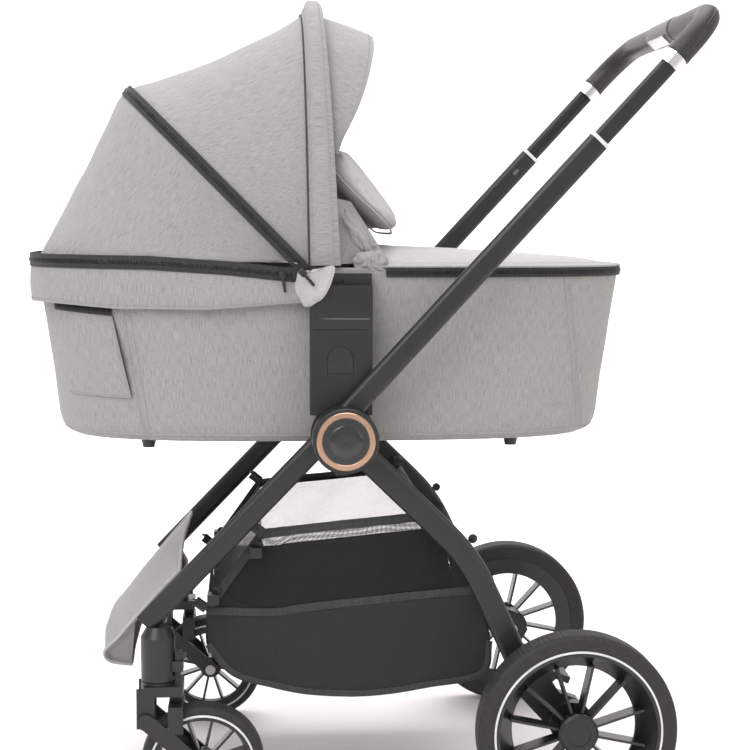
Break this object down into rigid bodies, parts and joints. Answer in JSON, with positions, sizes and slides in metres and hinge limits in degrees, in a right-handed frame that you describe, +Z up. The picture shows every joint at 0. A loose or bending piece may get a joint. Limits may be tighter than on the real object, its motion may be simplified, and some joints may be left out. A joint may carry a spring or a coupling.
{
  "type": "baby stroller",
  "caption": "Folding stroller frame with lift-off carrycot, zipped folding hood, boot cover, cloth basket, telescopic handle, large rear wheels and sprung front casters.",
  "frame": {"origin": "on the floor, under the middle of the object", "axes": "+Z up, +X towards the push handle, +Y towards the right side"},
  "size_m": [0.9402, 0.604, 1.131],
  "materials": {
    "frame_black": "satin charcoal powder coat",
    "plastic_black": "fine moulded grain",
    "gloss_black": "gloss",
    "rose_gold": "polished rose gold plating",
    "chrome": "bright chrome",
    "steel": "turned steel",
    "ferrule_white": "pale plastic",
    "grip_leather": "embossed black leatherette with stitching",
    "housing_grey": "grey plastic",
    "rubber": "matt",
    "tyre": "matt with a pale line",
    "rim_black": "satin moulded",
    "cloth_grey": "heathered woven grey",
    "cloth_black": "black woven polyester",
    "lining": "soft pale cotton"
  },
  "bodies": {
    "chassis": {"front_legs": "frame_black", "hub_plates": "frame_black", "hub_pins": "steel", "adapter_posts": "plastic_black", "front_sockets": "plastic_black", "front_crossbar": "frame_black", "front_panel": "cloth_grey", "basket": "cloth_black", "basket_clips": "plastic_black"},
    "rear_frame": {"rear_legs": "frame_black", "rear_crossbar": "frame_black", "rear_axles": "steel", "brake_housings": "plastic_black"},
    "pedal": {"brake_pedal": "plastic_black"},
    "rear_wheel_left": {"rear_tyre_left": "tyre", "rear_rim_left": "rim_black", "rear_cap_left": "gloss_black"},
    "rear_wheel_right": {"rear_tyre_right": "tyre", "rear_rim_right": "rim_black", "rear_cap_right": "gloss_black"},
    "caster_left": {"fork_head_left": "plastic_black", "buffer_left": "rubber"},
    "caster_right": {"fork_head_right": "plastic_black", "buffer_right": "rubber"},
    "arm_left": {"swing_arm_left": "plastic_black", "front_axle_left": "steel"},
    "arm_right": {"swing_arm_right": "plastic_black", "front_axle_right": "steel"},
    "front_wheel_left": {"front_tyre_left": "tyre", "front_rim_left": "rim_black"},
    "front_wheel_right": {"front_tyre_right": "tyre", "front_rim_right": "rim_black"},
    "lock_left": {"swivel_lock_left": "chrome"},
    "lock_right": {"swivel_lock_right": "chrome"},
    "handle": {"handle_tubes": "frame_black", "hub_casings": "plastic_black", "hub_rings": "rose_gold", "hub_caps": "gloss_black", "handle_ferrules": "ferrule_white"},
    "handle_slide": {"slide_tube": "frame_black", "grip_rings": "chrome", "grip_cover": "grip_leather", "trigger_housing": "housing_grey"},
    "trigger": {"fold_trigger": "chrome"},
    "slide_lock_left": {"slide_button_left": "ferrule_white"},
    "slide_lock_right": {"slide_button_right": "ferrule_white"},
    "release_left": {"release_button_left": "plastic_black"},
    "release_right": {"release_button_right": "plastic_black"},
    "carrycot": {"cot_shell": "cloth_grey", "cot_rim": "plastic_black", "mattress": "lining", "cot_brackets": "plastic_black", "cot_feet": "plastic_black", "apron": "cloth_grey", "hood_rear_panel": "cloth_grey"},
    "flap": {"wind_flap": "cloth_grey"},
    "hood_middle": {"hood_bow": "plastic_black", "hood_front_panel": "cloth_grey"},
    "hood_front": {"hood_band": "cloth_grey", "hood_visor": "cloth_grey"}
  },
  "joints": [
    {"name": "handle_fold", "type": "hinge", "parent": "chassis", "child": "handle", "pos_m": [-0.04208, 0, 0.532], "axis": [0, -1, 0], "range_deg": [0, 150]},
    {"name": "rear_leg_fold", "type": "hinge", "parent": "chassis", "child": "rear_frame", "pos_m": [-0.04208, 0, 0.532], "axis": [0, 1, 0], "range_deg": [0, 45]},
    {"name": "handle_extend", "type": "slide", "parent": "handle", "child": "handle_slide", "axis": [0.6762, 0, 0.7367], "range_m": [-0.1, 0.03]},
    {"name": "trigger_squeeze", "type": "slide", "parent": "handle_slide", "child": "trigger", "axis": [0.6762, 0, 0.7367], "range_m": [0, 0.005], "stiffness_N_per_m": 600, "springref_m": -0.003},
    {"name": "slide_lock_press_left", "type": "slide", "parent": "handle", "child": "slide_lock_left", "axis": [0, -1, 0], "range_m": [0, 0.0012], "stiffness_N_per_m": 400, "springref_m": -0.002},
    {"name": "release_press_left", "type": "slide", "parent": "chassis", "child": "release_left", "axis": [0, 1, 0], "range_m": [0, 0.004], "stiffness_N_per_m": 400, "springref_m": -0.003},
    {"name": "rear_spin_left", "type": "hinge", "parent": "rear_frame", "child": "rear_wheel_left", "pos_m": [0.27092, -0.281, 0.136], "axis": [0, 1, 0], "continuous": true},
    {"name": "caster_swivel_left", "type": "hinge", "parent": "chassis", "child": "caster_left", "pos_m": [-0.29208, -0.226, 0.2], "axis": [0, 0, 1], "continuous": true},
    {"name": "suspension_left", "type": "hinge", "parent": "caster_left", "child": "arm_left", "pos_m": [-0.30808, -0.226, 0.151], "axis": [0, -1, 0], "range_deg": [0, 7], "stiffness_Nm_per_rad": 60, "springref_deg": -14.32, "deforming": ["buffer_left"]},
    {"name": "front_spin_left", "type": "hinge", "parent": "arm_left", "child": "front_wheel_left", "pos_m": [-0.23308, -0.226, 0.0835], "axis": [0, 1, 0], "continuous": true},
    {"name": "swivel_lock_slide_left", "type": "slide", "parent": "chassis", "child": "lock_left", "axis": [0, 0, 1], "range_m": [0, 0.006]},
    {"name": "slide_lock_press_right", "type": "slide", "parent": "handle", "child": "slide_lock_right", "axis": [0, 1, 0], "range_m": [0, 0.0012], "stiffness_N_per_m": 400, "springref_m": -0.002},
    {"name": "release_press_right", "type": "slide", "parent": "chassis", "child": "release_right", "axis": [0, -1, 0], "range_m": [0, 0.004], "stiffness_N_per_m": 400, "springref_m": -0.003},
    {"name": "rear_spin_right", "type": "hinge", "parent": "rear_frame", "child": "rear_wheel_right", "pos_m": [0.27092, 0.281, 0.136], "axis": [0, 1, 0], "continuous": true},
    {"name": "caster_swivel_right", "type": "hinge", "parent": "chassis", "child": "caster_right", "pos_m": [-0.29208, 0.226, 0.2], "axis": [0, 0, 1], "continuous": true},
    {"name": "suspension_right", "type": "hinge", "parent": "caster_right", "child": "arm_right", "pos_m": [-0.30808, 0.226, 0.151], "axis": [0, -1, 0], "range_deg": [0, 7], "stiffness_Nm_per_rad": 60, "springref_deg": -14.32, "deforming": ["buffer_right"]},
    {"name": "front_spin_right", "type": "hinge", "parent": "arm_right", "child": "front_wheel_right", "pos_m": [-0.23308, 0.226, 0.0835], "axis": [0, 1, 0], "continuous": true},
    {"name": "swivel_lock_slide_right", "type": "slide", "parent": "chassis", "child": "lock_right", "axis": [0, 0, 1], "range_m": [0, 0.006]},
    {"name": "pedal_press", "type": "hinge", "parent": "rear_frame", "child": "pedal", "pos_m": [0.25492, 0, 0.15], "axis": [0, 1, 0], "range_deg": [0, 14]},
    {"name": "carrycot_lift", "type": "slide", "parent": "chassis", "child": "carrycot", "axis": [0, 0, 1], "range_m": [0, 0.5]},
    {"name": "hood_middle_fold", "type": "hinge", "parent": "carrycot", "child": "hood_middle", "pos_m": [-0.09708, 0, 0.75], "axis": [0, -1, 0], "range_deg": [0, 25], "deforming": ["hood_rear_panel"]},
    {"name": "hood_front_fold", "type": "hinge", "parent": "hood_middle", "child": "hood_front", "pos_m": [-0.09708, 0, 0.75], "axis": [0, -1, 0], "range_deg": [0, 30], "deforming": ["hood_front_panel"]},
    {"name": "flap_fold", "type": "hinge", "parent": "carrycot", "child": "flap", "pos_m": [0.03992, 0, 0.802], "axis": [0, 1, 0], "range_deg": [0, 90]}
  ],
  "couplings": [
    {"joint": "rear_leg_fold", "follows": "handle_fold", "ratio": 0.3},
    {"joint": "hood_middle_fold", "follows": "hood_front_fold", "ratio": 0.8}
  ]
}
